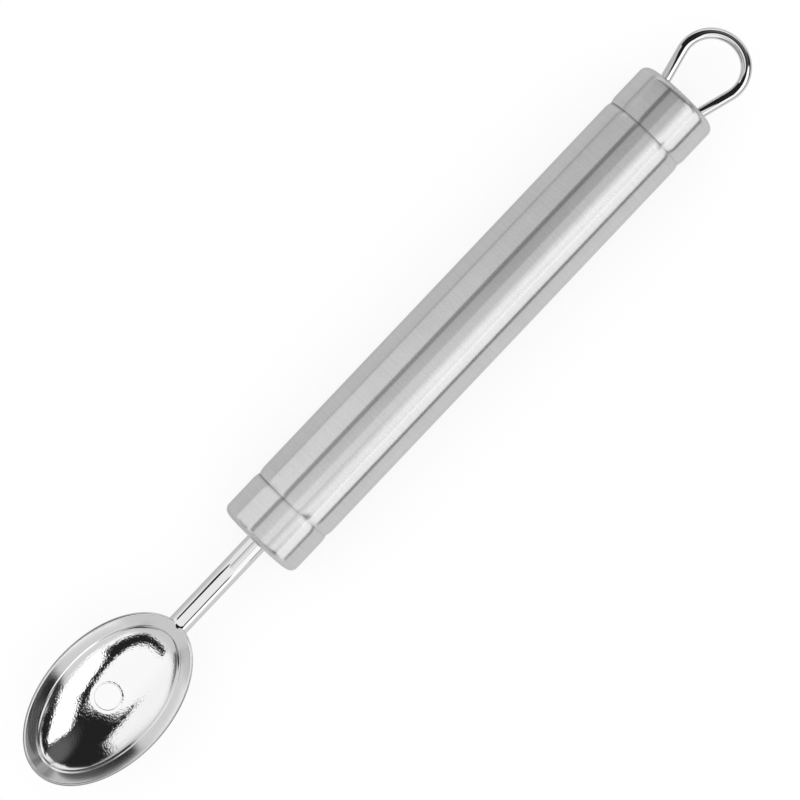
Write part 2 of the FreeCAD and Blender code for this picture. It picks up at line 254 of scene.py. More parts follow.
def satin_steel():
    """Steel brushed round and round: fine hoops across the grip, faint handling marks, a long sheen and
    painted shade in the grooves.
    """
    material, start = new_material("satin_steel")
    place = object_place(start)
    fine = start.noise(start.stretched(place, (9000.0, 260.0, 260.0)), 1.0, 2.0)
    coarse = start.noise(start.stretched(place, (2200.0, 70.0, 70.0)), 1.0, 3.0)
    marks = start.noise(start.stretched(place, (90.0, 160.0, 160.0)), 1.0, 4.0, 0.6)
    speckle = start.noise(place, 3600.0, 1.0)
    colour = start.blend(marks * 0.4 + coarse * 0.3 + speckle * 0.3, *map(grey, BRUSHED_GREYS))
    # Painted shade: the marked grooves at the seams are darkened towards a near black grey
    colour = start.blend(marked(start, SEAM), colour, grey(SEAM_SHADE_GREY))
    rough = 0.20 + marks * 0.04 + coarse * 0.04
    normal = bumped(start, fine * 0.5 + coarse * 0.5, BRUSH_DEPTH)
    shader = start.node("ShaderNodeBsdfPrincipled", None, {
        "Base Color": colour,
        "Metallic": 1.0,
        "Roughness": rough,
        "Anisotropic": 0.98,
        "Normal": normal,
    })
    set_surface(start, shader)
    return material


def polished_steel():
    """Polished steel: a mirror with a few smears. A mesh may mark where it has the orange peel of the press,
    where it is buffed in lines round the edge, where it is drawn rod, and where the shears left it dull."""
    material, start = new_material("polished_steel")
    place = object_place(start)
    trim, pressed, buffed, drawn, inset = [
        marked(start, name) for name in (TRIM, PRESSED, BUFFED, DRAWN, INSET)]
    lines = start.node("ShaderNodeTexNoise", {"noise_dimensions": "1D"}, {"W": inset * 7.0, "Detail": 3.0})
    peel = start.noise(place, 3200.0, 1.0)
    smears = start.noise(place, 150.0, 4.0, 0.65)
    mirror = start.blend(smears, *map(grey, MIRROR_GREYS))
    mirror = start.blend(drawn, mirror, grey(DRAWN_GREY))
    mirror = start.blend(buffed * (lines - 0.5).step(0.25), mirror, grey(BUFFED_GREY))
    shader = start.node("ShaderNodeBsdfPrincipled", None, {
        "Base Color": start.blend(trim, mirror, grey(TRIM_GREY)),
        "Metallic": 1.0,
        "Roughness": 0.035 + smears * 0.04 + trim * 0.2 + buffed * 0.06,
        "Normal": bumped(start, peel * pressed, PEEL_DEPTH),
    })
    set_surface(start, shader)
    return material


def weld_metal():
    """Metal as welded: dull, a little straw and blue where it was hottest, with a cast grain."""
    material, start = new_material("weld_metal")
    place = object_place(start)
    tint = start.noise(place, 900.0, 3.0)
    grain = start.noise(place, 7000.0, 3.0, 0.6)
    colour = start.blend(tint.step(0.9), WELD_STRAW, WELD_BLUE)
    shader = start.node("ShaderNodeBsdfPrincipled", None, {
        "Base Color": colour,
        "Metallic": 1.0,
        "Roughness": 0.32 + grain * 0.2,
        "Normal": bumped(start, grain, WELD_DEPTH),
    })
    set_surface(start, shader)
    return material


def moulded_plug():
    """Plain dark nylon with the fine grain of its mould."""
    material, start = new_material("moulded_plug")
    place = object_place(start)
    grain = start.noise(place, 4000.0, 2.0)
    shader = start.node("ShaderNodeBsdfPrincipled", None, {
        "Base Color": start.blend(grain, *map(grey, NYLON_GREYS)),
        "Roughness": 0.5 + grain * 0.2,
        "Normal": bumped(start, grain, MOULD_DEPTH),
    })
    set_surface(start, shader)
    return material


# Surfaces

MERGE_DISTANCE = 1e-7
SHARP_ANGLE = math.radians(40)


def grid_piece(name, points, close_rows, close_columns):
    """A smooth mesh over a grid of points, rows by columns, that runs on round where it closes. Rows that
    shrink to one point become poles, and faces point outwards."""
    rows, columns = points.shape[:2]
    index = np.arange(rows * columns).reshape(rows, columns)
    if close_rows:
        index = np.concatenate([index, index[:1]], 0)
    if close_columns:
        index = np.concatenate([index, index[:, :1]], 1)
    faces = np.stack([index[:-1, :-1], index[1:, :-1], index[1:, 1:], index[:-1, 1:]], -1)
    mesh = bpy.data.meshes.new(name)
    mesh.from_pydata(points.reshape(-1, 3).tolist(), [], faces.reshape(-1, 4).tolist())
    shape = bmesh.new()
    shape.from_mesh(mesh)
    bmesh.ops.remove_doubles(shape, verts=shape.verts, dist=MERGE_DISTANCE)
    bmesh.ops.recalc_face_normals(shape, faces=shape.faces)
    shape.to_mesh(mesh)
    shape.free()
    mesh.polygons.foreach_set("use_smooth", np.ones(len(mesh.polygons), bool))
    mesh.set_sharp_from_angle(angle=SHARP_ANGLE)
    piece = bpy.data.objects.new(name, mesh)
    bpy.context.scene.collection.objects.link(piece)
    return piece


def arc(centre, radius, start, end, count):
    """Points on a circle: the centre plus the radius along evenly spaced angles, in degrees."""
    turn = np.radians(np.linspace(start, end, count))
    return np.array(centre) + radius * np.stack([np.cos(turn), np.sin(turn)], -1)


def run(first, last, count):
    """Evenly spaced points from one to another."""
    share = np.linspace(0, 1, count)[:, None]
    return (1 - share) * np.array(first) + share * np.array(last)


def turned(name, outline, closed):
    """A surface of revolution about the handle's axis: each outline point, length against radius, is carried
    once round, so a point is (x, radius times sine, axis height plus radius times cosine)."""
    turn = np.linspace(0, 2 * np.pi, HANDLE_SIDES, endpoint=False)
    x = np.repeat(outline[:, :1], HANDLE_SIDES, 1)
    y = outline[:, 1:] * np.sin(turn)
    z = outline[:, 1:] * np.cos(turn) + AXIS_HEIGHT
    return grid_piece(name, np.stack([x, y, z], -1), closed, True)


def rolled_edge(x, towards):
    """The outline of a rolled-in mouth at x, from the mouth to the full radius: an arc that is tangent to the
    cylinder one seam width inside the mouth and drops by the seam depth."""
    radius = (SEAM_WIDTH ** 2 + SEAM_DEPTH ** 2) / (2 * SEAM_DEPTH)
    fall = math.degrees(math.asin(SEAM_WIDTH / radius))
    centre = (x + towards * SEAM_WIDTH, GRIP_RADIUS - radius)
    return arc(centre, radius, 90 + towards * fall, 90, 14)


def grip_tube():
    """The tube of the grip: rolled mouths, straight outside, straight bore."""
    bore = GRIP_RADIUS - SHEET_WALL
    front = rolled_edge(TUBE_LOW.x, 1)
    rear = rolled_edge(TUBE_HIGH.x, -1)[::-1]
    inside = run((TUBE_HIGH.x, bore), (TUBE_LOW.x, bore), 2)
    middle = run(front[-1], rear[0], 60)[1:-1]
    return turned("satin_tube", np.concatenate([front, middle, rear, inside]), True)


def cap_outline(face, mouth, hole):
    """A drawn cup from the edge of the hole in its end wall, over its round corner to its rolled mouth, and
    back along the inside."""
    inward = math.copysign(1.0, mouth - face)
    bore = GRIP_RADIUS - SHEET_WALL
    corner_centre = (face + inward * CAP_CORNER, GRIP_RADIUS - CAP_CORNER)
    corner = arc(corner_centre, CAP_CORNER, 90 + inward * 90, 90, 22)
    rim = rolled_edge(mouth, -inward)[::-1]
    wall = face + inward * SHEET_WALL
    return np.concatenate([
        run((face, hole), corner[0], 10)[:-1],
        corner,
        run(corner[-1], rim[0], 8)[1:-1],
        rim,
        np.array([(mouth, bore), (wall, bore), (wall, hole)]),
    ])


def front_cup():
    """The cap that the stem comes out of."""
    return turned("front_cup", cap_outline(FRONT_LOW.x, FRONT_HIGH.x, STEM_RADIUS), True)


def rear_cup():
    """The cap that the loop's legs go into."""
    return turned("rear_cup", cap_outline(REAR_HIGH.x, REAR_LOW.x, 0.0), False)


# Bowl's own frame

LIP_INSET = BOWL_SHEET * math.sin(FLARE_ANGLE)
LIP_HEIGHT = BOWL_SHEET * math.cos(FLARE_ANGLE)
CREASE_INSET = LIP_INSET + FLARE_WIDTH
CREASE_HEIGHT = LIP_HEIGHT - FLARE_WIDTH * math.tan(FLARE_ANGLE)
SHOULDER_INSET = FLARE_WIDTH
SHOULDER_HEIGHT = -SHOULDER_INSET * math.tan(FLARE_ANGLE)
OUTER_DEPTH = SHOULDER_HEIGHT - CREASE_HEIGHT + DISH_DEPTH + BOWL_SHEET
BOWL_ORIGIN = Vector((
    (BOWL_LOW.x + BOWL_HIGH.x) / 2,
    0.0,
    AXIS_HEIGHT + STEM_RADIUS + LIP_RISE - LIP_HEIGHT + BOWL_HALF_LENGTH * math.sin(BOWL_PITCH),
))
BOWL_TURN = Matrix.Rotation(BOWL_PITCH, 3, "Y")


def bowl_to_tool(points):
    return points @ np.array(BOWL_TURN).T + np.array(BOWL_ORIGIN)


def tool_to_bowl(points):
    return (points - np.array(BOWL_ORIGIN)) @ np.array(BOWL_TURN)


def ovals(insets, heights, turn):
    """Ovals stacked at heights: each is the bowl's outermost edge with its half axes drawn in by an inset."""
    x = (BOWL_HALF_LENGTH - insets)[:, None] * np.cos(turn)
    y = (BOWL_HALF_WIDTH - insets)[:, None] * np.sin(turn)
    return np.stack([x, y, np.repeat(heights[:, None], len(turn), 1)], -1)


def dish_height(x, y, inset, depth):
    """Height of a dish over its bottom. The dish is a stack of ovals: their half width grows from nothing to
    that of the inset as the height grows with its square, and their half length grows faster at first, so
    that the wall ends at the same angle all round. The oval through a point is found by halving."""
    half_length = BOWL_HALF_LENGTH - inset
    half_width = BOWL_HALF_WIDTH - inset
    low = np.full_like(x, 1e-4)
    high = np.full_like(x, 1.2)
    for _ in range(40):
        share = (low + high) / 2
        length = half_length * share + (half_length - half_width) * share ** 2 * (1 - share)
        beyond = (x / length) ** 2 + (y / (half_width * share)) ** 2 > 1
        low = np.where(beyond, share, low)
        high = np.where(beyond, high, share)
    return depth * share ** 2


def dish(inset, height, depth, first, share, turn):
    """A dish under the oval of the inset, in rows that run from a circle of the first radius to that oval."""
    x = (first + share * (BOWL_HALF_LENGTH - inset - first))[:, None] * np.cos(turn)
    y = (first + share * (BOWL_HALF_WIDTH - inset - first))[:, None] * np.sin(turn)
    return np.stack([x, y, height - depth + dish_height(x, y, inset, depth)], -1)


def flare_points(along, across):
    """Insets and heights of points given along the flare from the crease, and across it from its inside."""
    inset = CREASE_INSET - along * math.cos(FLARE_ANGLE) + across * math.sin(FLARE_ANGLE)
    return inset, CREASE_HEIGHT + along * math.sin(FLARE_ANGLE) + across * math.cos(FLARE_ANGLE)


def polished_bowl():
    """The bowl as one closed sheet, a stack of ovals: inside from the raised rim of the vent over the dish,
    the crease and the flare to the lip, then back along the outside and through the vent. Under the crease
    the ovals move aside with their depth."""
    turn = np.linspace(0, 2 * np.pi, BOWL_SIDES, endpoint=False)
    first = VENT_RADIUS + VENT_EDGE
    share = 1 - np.linspace(1, 0, DISH_ROWS) ** 1.4
    inside = dish(CREASE_INSET, CREASE_HEIGHT, DISH_DEPTH, first, share, turn)
    from_rim = np.hypot(inside[..., 0], inside[..., 1]) - first
    inside[..., 2] += VENT_RIM_HEIGHT * np.clip(1 - from_rim / VENT_RIM_WIDTH, 0, 1) ** 2
    from_crease = np.hypot(inside[..., 0] - inside[-1, :, 0], inside[..., 1] - inside[-1, :, 1])
    inside[..., 2] += RIDGE_HEIGHT * np.exp(-(from_crease / RIDGE_WIDTH) ** 2)
    outside = dish(SHOULDER_INSET, SHOULDER_HEIGHT, OUTER_DEPTH, first, np.linspace(0, 1, OUTSIDE_ROWS), turn)
    length = FLARE_WIDTH / math.cos(FLARE_ANGLE)
    straight = length - LIP_ROUND
    flare_along = np.concatenate([
        np.linspace(CREASE_GAP ** 0.6, straight ** 0.6, FLARE_ROWS) ** (1 / 0.6),
        arc((straight, 0), LIP_ROUND, LIP_SWEEP, 0, LIP_ROWS)[:, 0],
        arc((straight, 0), LIP_ROUND, 0, -LIP_SWEEP, LIP_ROWS)[:, 0],
        np.linspace(straight, CREASE_GAP, UNDER_ROWS),
    ])
    flare_across = np.concatenate([
        np.zeros(FLARE_ROWS),
        arc((0, -LIP_ROUND), LIP_ROUND, LIP_SWEEP, 0, LIP_ROWS)[:, 1],
        arc((0, LIP_ROUND - BOWL_SHEET), LIP_ROUND, 0, -LIP_SWEEP, LIP_ROWS)[:, 1],
        np.full(UNDER_ROWS, -BOWL_SHEET),
    ])
    edge = np.linspace(0, math.pi / 2, VENT_ROWS)
    sink = VENT_EDGE * (1 - np.cos(edge))
    narrow = VENT_EDGE * np.sin(edge)
    ring = np.stack([np.cos(turn), np.sin(turn)], -1)
    upper_edge = np.concatenate([
        (first - narrow)[:, None, None] * ring,
        inside[0][None, :, 2:] - sink[:, None, None],
    ], -1)
    lower_edge = np.concatenate([
        (first - narrow)[:, None, None] * ring,
        outside[0][None, :, 2:] + sink[:, None, None],
    ], -1)
    flare = ovals(*flare_points(flare_along, flare_across), turn)
    flare[..., 2] -= REAR_DROP * (flare_along / length)[:, None] * np.clip(np.cos(turn), 0, 1) ** 2
    ridge = RIDGE_HEIGHT * np.exp(-(flare_along[:FLARE_ROWS] / RIDGE_WIDTH) ** 2)
    flare[:FLARE_ROWS, :, 2] += ridge[:, None]
    points = np.concatenate([
        upper_edge[:0:-1],
        inside,
        flare,
        outside[::-1],
        lower_edge[1:],
    ])
    points[..., 1] += DISH_ASIDE * np.clip((CREASE_HEIGHT - points[..., 2]) / DISH_DEPTH, 0, 1)
    piece = grid_piece("polished_bowl", bowl_to_tool(points), True, True)
    mark_finish(piece)
    return piece


def mark(mesh, name, values):
    mesh.attributes.new(name, "FLOAT", "POINT").data.foreach_set("value", values.astype(np.float32))


def mark_finish(piece):
    """Mark the sheared face of the lip: 1 on points past the straight of the flare and under its inner face,
    and fading to 0 over the lip's rounding. Mark the dish: 1 on points inside the oval of the crease. Mark
    the flare: 1 on the rest. Mark how far each point lies in from the edge, in millimetres."""
    mesh = piece.data
    spots = np.empty(3 * len(mesh.vertices))
    mesh.vertices.foreach_get("co", spots)
    x, y, z = tool_to_bowl(spots.reshape(-1, 3)).T
    rim = np.hypot(x / BOWL_HALF_LENGTH, y / BOWL_HALF_WIDTH)
    slope = (x / BOWL_HALF_LENGTH) ** 2 / BOWL_HALF_LENGTH + (y / BOWL_HALF_WIDTH) ** 2 / BOWL_HALF_WIDTH
    inset = (1 - rim) * rim ** 2 / slope
    along = (CREASE_INSET - inset) * math.cos(FLARE_ANGLE) + (z - CREASE_HEIGHT) * math.sin(FLARE_ANGLE)
    across = (inset - CREASE_INSET) * math.sin(FLARE_ANGLE) + (z - CREASE_HEIGHT) * math.cos(FLARE_ANGLE)
    past = np.clip(1 + (along - FLARE_WIDTH / math.cos(FLARE_ANGLE)) / LIP_ROUND, 0, 1)
    share = past * np.clip(-across / LIP_ROUND, 0, 1)
    crease = np.hypot(x / (BOWL_HALF_LENGTH - CREASE_INSET), y / (BOWL_HALF_WIDTH - CREASE_INSET))
    dish_share = np.clip((PEEL_END_SHARE - crease) / PEEL_FADE_SHARE, 0, 1)
    mark(mesh, TRIM, share)
    mark(mesh, PRESSED, dish_share)
    mark(mesh, BUFFED, 1 - dish_share)
    mark(mesh, INSET, inset / MM)


def outside_bowl(points):
    """True outside the bowl's filled-in form: beyond the oval at the flare's height, or under the dish."""
    x, y, z = np.moveaxis(tool_to_bowl(points), -1, 0)
    inset = np.clip(np.abs(z) / np.tan(FLARE_ANGLE), 0, SHOULDER_INSET)
    oval = (x / (BOWL_HALF_LENGTH - inset)) ** 2 + (y / (BOWL_HALF_WIDTH - inset)) ** 2
    bottom = SHOULDER_HEIGHT - OUTER_DEPTH + dish_height(x, y, SHOULDER_INSET, OUTER_DEPTH)
    return (oval > 1) | ((z < SHOULDER_HEIGHT) & (z < bottom))


def meet_bowl(y, z):
    """Where lines along the tool's axis at y and z first meet the bowl from the handle's side, by halving."""
    low = np.full_like(y, BOWL_ORIGIN.x)
    high = np.full_like(y, FRONT_LOW.x)
    for _ in range(48):
        middle = (low + high) / 2
        out = outside_bowl(np.stack([middle, y, z], -1))
        high = np.where(out, middle, high)
        low = np.where(out, low, middle)
    return high


def round_stem():
    """A rod whose end is coped to the bowl: each line along the rod runs from where it meets the bowl, a
    little into the sheet, to the head of the tang inside the handle."""
    turn = np.linspace(0, 2 * np.pi, 96, endpoint=False)
    sine, cosine = np.sin(turn), np.cos(turn)
    cope = meet_bowl(STEM_RADIUS * sine, AXIS_HEIGHT + STEM_RADIUS * cosine) - BOWL_SHEET / 3
    head = STEM_HIGH.x - HEAD_THICKNESS
    rows = [(np.full_like(cope, cope.mean()), 0.0), (cope, STEM_RADIUS)]
    rows += [(cope + share * (head - cope), STEM_RADIUS) for share in np.linspace(0, 1, 40)[1:]]
    rows += [(np.full_like(cope, x), radius) for x, radius in
             ((head, HEAD_RADIUS), (STEM_HIGH.x, HEAD_RADIUS), (STEM_HIGH.x, 0.0))]
    points = [np.stack([x, radius * sine, radius * cosine + AXIS_HEIGHT], -1) for x, radius in rows]
    return grid_piece("round_stem", np.array(points), False, True)


def weld_bead():
    """A bead in the corner under the stem: a circle carried along the line where the stem meets the bowl,
    rising and falling a little like the laps of a weld, and shrinking to a point at both ends."""
    along = np.linspace(0, 1, 90)
    swing = math.pi + (along - 0.5) * WELD_SPAN
    laps = 1 - WELD_LAP_SHARE * (1 - np.cos(along * WELD_LAPS * 2 * np.pi))
    size = (WELD_RADIUS * laps * np.sqrt(np.sin(along * np.pi)))[:, None]
    corner = meet_bowl(STEM_RADIUS * np.sin(swing), AXIS_HEIGHT + STEM_RADIUS * np.cos(swing))
    middle = corner + WELD_RADIUS / 2
    round_bead = np.linspace(0, 2 * np.pi, 40, endpoint=False)
    reach = STEM_RADIUS + size * np.cos(round_bead)
    x = middle[:, None] + size * np.sin(round_bead)
    y = reach * np.sin(swing)[:, None]
    z = reach * np.cos(swing)[:, None] + AXIS_HEIGHT
    return grid_piece("weld_bead", np.stack([x, y, z], -1), False, True)


def loop_line():
    """The centre line of the wire in the plane of the loop: the outer arc, a leaning leg tangent to it, the
    bend into the cap, the straight leg, and the foot turned out; then the same on the other side. The loop
    is bent a little to one side, as by use."""
    face = REAR_HIGH.x
    big = LOOP_HALF_WIDTH - WIRE_RADIUS
    middle = LOOP_HIGH.x - LOOP_HALF_WIDTH - face
    inner = LOOP_LOW.x + WIRE_RADIUS + FOOT_BEND - face
    span = math.hypot(middle, LEG_OFFSET + LEG_BEND)
    lean = math.asin((big + LEG_BEND) / span) - math.atan2(LEG_OFFSET + LEG_BEND, middle)
    tilt = math.degrees(lean)
    outer = arc((middle, 0), big, 0, 90 + tilt, 72)
    bend = arc((0, LEG_OFFSET + LEG_BEND), LEG_BEND, tilt - 90, -90, 24)
    foot = arc((inner, LEG_OFFSET + FOOT_BEND), FOOT_BEND, 270, 180, 16)
    toe = foot[-1] + np.array([0, FOOT_LENGTH])
    half = np.concatenate([
        outer,
        run(outer[-1], bend[0], 14)[1:-1],
        bend,
        run(bend[-1], foot[0], 12)[1:-1],
        foot,
        run(foot[-1], toe, 4)[1:],
    ])
    mirrored = half[:0:-1] * np.array([1, -1])
    x, y = np.concatenate([mirrored, half]).T
    outside = np.clip(x, 0, None)
    return np.stack([face + x - outside * (1 - LOOP_SHORT), y - LOOP_ASIDE - outside * LOOP_LEAN], -1)


def wire_loop():
    """Round wire: a circle carried along the loop's centre line, square to it, with both ends closed."""
    line = loop_line()
    step = np.gradient(line, axis=0)
    step /= np.linalg.norm(step, axis=1, keepdims=True)
    radius = np.full(len(line), WIRE_RADIUS)
    line = np.concatenate([line[:1], line, line[-1:]])
    step = np.concatenate([step[:1], step, step[-1:]])
    radius = np.concatenate([[0], radius, [0]])[:, None]
    turn = np.linspace(0, 2 * np.pi, 48, endpoint=False)
    aside = radius * np.cos(turn)
    x = line[:, :1] - step[:, 1:] * aside
    y = line[:, 1:] + step[:, :1] * aside
    z = AXIS_HEIGHT + radius * np.sin(turn)
    return grid_piece("wire_loop", np.stack([x, y, z], -1), False, True)


# Painted shade in the grooves: its share in the middle, its growth a millimetre, and its limits
SEAM_SHADE_MIDDLE = 0.45
SEAM_SHADE_GROWTH = 0.07
SEAM_SHADE_LEAST = 0.15
SEAM_SHADE_MOST = 0.9
MOUTH_SLACK = 1e-6


def mark_seam_shade(piece):
    """Mark the painted shade in the grooves of the handle: most at a mouth that faces the loop, fading to 0
    inwards, and growing with Y round the groove."""
    mesh = piece.data
    spots = np.empty(3 * len(mesh.vertices))
    mesh.vertices.foreach_get("co", spots)
    mouth = FRONT_HIGH.x if mesh.name.startswith("front") else TUBE_HIGH.x
    behind = mouth + MOUTH_SLACK - spots[::3]
    uneven = np.clip(SEAM_SHADE_MIDDLE + SEAM_SHADE_GROWTH * spots[1::3] / MM, SEAM_SHADE_LEAST, SEAM_SHADE_MOST)
    # Painted shade: darker in the groove by the mouth, and more so towards +Y
    mark(mesh, SEAM, uneven * np.clip(1 - behind / SEAM_FADE, 0, 1) * (behind > 0))


def lay_grain(piece):
    """Turn the sheen of a brushed piece along X: its tangent circles the Z axis of the texture space, so that
    axis is put far off to the side."""
    piece.data.use_auto_texspace = False
    piece.data.texspace_location = (0.0, -1000.0, 0.0)
    piece.data.texspace_size = (1.0, 1.0, 1.0)


# Studio

STUDIO_RADIUS = 0.6
FLOOR_HALF = 3.0
FLOOR_SHARE = 0.8
FLOOR_GREY = 0.9
WORLD_LEVEL = 1.2


def stage_object(name, points, faces, material):
    """A piece of the set: a mesh that isn't part of the tool."""
    mesh = bpy.data.meshes.new(name)
    mesh.from_pydata(points, [], faces)
    mesh.materials.append(material)
    made = bpy.data.objects.new(name, mesh)
    bpy.context.scene.collection.objects.link(made)
    return made


def seen_only_in_metal(made):
    """Leave a piece of the set out of everything but reflections."""
    made.visible_camera = False
    made.visible_diffuse = False
    made.visible_transmission = False
    made.visible_shadow = False


def floor():
    """A white sweep: it glows by itself for most of its level, and the rest shows the tool's shadow."""
    material, start = new_material("white_floor")
    path = [start.node("ShaderNodeLightPath", None, None, name)
            for name in ("Is Camera Ray", "Is Glossy Ray", "Is Transmission Ray")]
    seen = path[0].most(path[1]).most(path[2])
    paper = start.node("ShaderNodeBsdfDiffuse", None, {"Color": grey(FLOOR_GREY)})
    glow = start.node("ShaderNodeEmission", None, {"Color": grey(1.0), "Strength": 1.0})
    set_surface(start, start.node("ShaderNodeMixShader", None, {0: seen * FLOOR_SHARE, 1: paper, 2: glow}))
    material.cycles.emission_sampling = "NONE"
    half = FLOOR_HALF
    corners = [(-half, -half, 0), (half, -half, 0), (half, half, 0), (-half, half, 0)]
    stage_object("floor", corners, [(0, 1, 2, 3)], material)


# Places on the tent, as the dome is seen flat from below: x and y over the radius plus z, so that the top is
# at 0 and the horizon at 1. Corners run anticlockwise.
OVERHEAD_PANEL = [(0.05, 0.3), (-0.4, 0.3), (-0.4, -0.1), (-0.375, -0.22), (-0.325, -0.33), (-0.22, -0.385),
                  (-0.12, -0.36), (-0.035, -0.285), (0.025, -0.19), (0.05, -0.1)]
SIDE_PANEL = [(0.19, -0.06), (0.05, -0.32), (0.05, -0.7), (0.08, -0.68), (0.33, -0.42), (0.45, -0.26)]
SIDE_PANEL_FOOT = [(0.1, -0.36), (-0.05, -0.42), (-0.2, -0.51), (-0.27, -0.66), (-0.26, -0.77), (0.06, -0.74),
                   (0.1, -0.66)]
PANEL_GAP = [(0.1, 0.24), (-0.48, 0.24), (-0.53, -0.33), (-0.49, -0.46), (-0.38, -0.6), (-0.26, -0.67),
             (0.1, -0.67)]
FAR_ROOM = [(0.3, 0.8), (0.07, 0.8), (0.07, 0.3), (0.54, 0.3), (0.5, 0.55)]
NEAR_ROOM = [(0.52, 0.42), (0.0, 0.5), (-0.04, 0.42), (0.05, -0.1), (0.1, -0.3), (0.66, -0.36), (0.72, -0.1),
             (0.62, 0.2)]
LOW_ROOM = [(0.46, -0.26), (0.1, -0.65), (0.0, -0.78), (-0.09, -0.96), (0.4, -0.95), (0.85, -0.65),
            (1.02, -0.4), (1.0, -0.2)]
POST = [(-0.32, 0.8), (-0.46, 0.74), (-0.6, 0.6), (-0.7, 0.43), (-0.58, 0.38), (-0.44, 0.6)]
TENT_ASIDE = 0.024
PANEL_SOFT = 0.012
SIDE_SOFT = 0.015
FAR_SOFT = 0.02
NEAR_SOFT = 0.03
LOW_SOFT = 0.05
HAZE_CENTRE = (0.45, 0.04)
HAZE_RADIUS_SQUARED = 0.06
HAZE_SOFT = 0.05
FAR_WALL = 0.88
FAR_WALL_SOFT = 0.04
SHADE_PLACE = -0.5
SHADE_SOFT = 0.06
HORIZON_SQUARED = 0.64
HORIZON_SOFT = 0.14
HORIZON_END = -0.12
HORIZON_END_SOFT = 0.17
SLOPE_PLACE = 0.4
SLOPE_SOFT = 0.2

# Levels on the tent, and the shares by which parts of it are dimmed
PANEL_LEVEL = 1.2
SIDE_GAIN = 0.45
DARK_LEVEL = 0.02
HAZE_LEVEL = 0.12
POST_SHARE = 0.85
FAR_WALL_SHARE = 0.88
SHADE_SHARE = 0.35
HORIZON_SHARE = 0.58
SLOPE_SHARE = 0.06


def places(start):
    """Wires for x, y and z in the piece's own coordinates."""
    split = start.node("ShaderNodeSeparateXYZ", None, {"Vector": object_place(start)})
    return [Wire(start.tree, socket) for socket in split.socket.node.outputs]


def glow_at(start, level):
    """A surface that glows in white at a level."""
    colour = start.node("ShaderNodeCombineColor", None, {"Red": level, "Green": level, "Blue": level})
    set_surface(start, start.node("ShaderNodeEmission", None, {"Color": colour, "Strength": 1.0}))


def panel(x, y, corners, soft):
    """1 inside a flat panel with these corners and 0 outside it, with an edge as soft as given."""
    inside = None
    for (x0, y0), (x1, y1) in zip(corners, corners[1:] + corners[:1]):
        length = math.hypot(x1 - x0, y1 - y0)
        right, up = (y0 - y1) / length, (x1 - x0) / length
        edge = (x * right + y * up - (x0 * right + y0 * up)).step(soft)
        inside = edge if inside is None else inside * edge
    return inside


def studio_light():
    """The tent's material: white all round, with an overhead and a side panel in a dark and hazy part of the
    room, a dark post, and greyer cloth at both ends of the tool, down one side and along the horizon."""
    material, start = new_material("tent")
    tent_x, tent_y, tent_z = places(start)
    x = tent_x / (tent_z + STUDIO_RADIUS)
    y = tent_y / (tent_z + STUDIO_RADIUS) + TENT_ASIDE
    gap = panel(x, y, PANEL_GAP, PANEL_SOFT) * (1 - panel(x, y, OVERHEAD_PANEL, PANEL_SOFT))
    room = panel(x, y, FAR_ROOM, FAR_SOFT).most(panel(x, y, NEAR_ROOM, NEAR_SOFT))
    low = panel(x, y, LOW_ROOM, LOW_SOFT).most(panel(x, y, POST, LOW_SOFT) * POST_SHARE)
    side = panel(x, y, SIDE_PANEL, SIDE_SOFT).most(panel(x, y, SIDE_PANEL_FOOT, SIDE_SOFT))
    dark = gap.most(room).most(low) * (1 - side)
    haze_x, haze_y = x - HAZE_CENTRE[0], y - HAZE_CENTRE[1]
    haze = (HAZE_RADIUS_SQUARED - haze_x * haze_x - haze_y * haze_y).step(HAZE_SOFT)
    far = (x - FAR_WALL).step(FAR_WALL_SOFT) * FAR_WALL_SHARE
    shade = (SHADE_PLACE - x).step(SHADE_SOFT) * SHADE_SHARE
    horizon = (y * y - HORIZON_SQUARED).step(HORIZON_SOFT) * HORIZON_SHARE
    horizon = horizon * (x - HORIZON_END).step(HORIZON_END_SOFT)
    slope = (y - SLOPE_PLACE).step(SLOPE_SOFT) * SLOPE_SHARE
    gain = (1 - horizon) * (1 - slope) + side * SIDE_GAIN
    level = (1 - shade) * gain * PANEL_LEVEL * (1 - dark) + DARK_LEVEL + haze * dark * HAZE_LEVEL
    glow_at(start, level * (1 - far))
    material.cycles.emission_sampling = "NONE"
    return material


def tent():
    """A half sphere round the tool: the radius times the sines and cosines of a height and a turn."""
    height = np.linspace(0, math.pi / 2, 25)
    turn = np.linspace(0, 2 * np.pi, 96, endpoint=False)
    points = STUDIO_RADIUS * np.stack([
        np.cos(height)[:, None] * np.cos(turn),
        np.cos(height)[:, None] * np.sin(turn),
        np.repeat(np.sin(height)[:, None], len(turn), 1),
    ], -1)
    made = grid_piece("tent", points, False, True)
    made.data.materials.append(studio_light())
    seen_only_in_metal(made)


# Cards: their heights, their ends in X, and the corners of the two that aren't strips
CARD_HEIGHT = 0.028
BOARD_HEIGHT = 0.0005
ABOVE = (-0.04, 0.076)
BESIDE = (-0.04, 0.1)
ROOM = (-0.4, 0.4)
EVEN = ((0.0, 1.0), (1.0, 1.0))
BRIDGE = [(-0.045, -0.03, 0.068), (0.06, -0.07, 0.15), (0.1, -0.12, 0.145), (0.1, -0.14, 0.12),
          (-0.045, -0.065, 0.062)]
CLAMP = [(-0.075, 0.05, 0.057), (-0.075, 0.05, 0.0505), (-0.045, 0.05, 0.038), (-0.039, 0.0502, 0.076)]


def card(name, corners, levels, along):
    """A flat card that is seen only in the metal. Its level runs evenly across it in Y, from its first corner
    to its last, times a share that runs evenly along X between two places."""
    material, start = new_material(name)
    x, y, _ = places(start)
    level = ramp(y, (corners[0][1], levels[0]), (corners[-1][1], levels[1])) * ramp(x, *along)
    glow_at(start, level)
    material.cycles.emission_sampling = "NONE"
    seen_only_in_metal(stage_object(name, corners, [tuple(range(len(corners)))], material))


def ramp(wire, low, high):
    """A level that runs evenly between two places and stays the same beyond them."""
    span = {"Value": wire, "From Min": low[0], "From Max": high[0], "To Min": low[1], "To Max": high[1]}
    return wire.node("ShaderNodeMapRange", None, span)


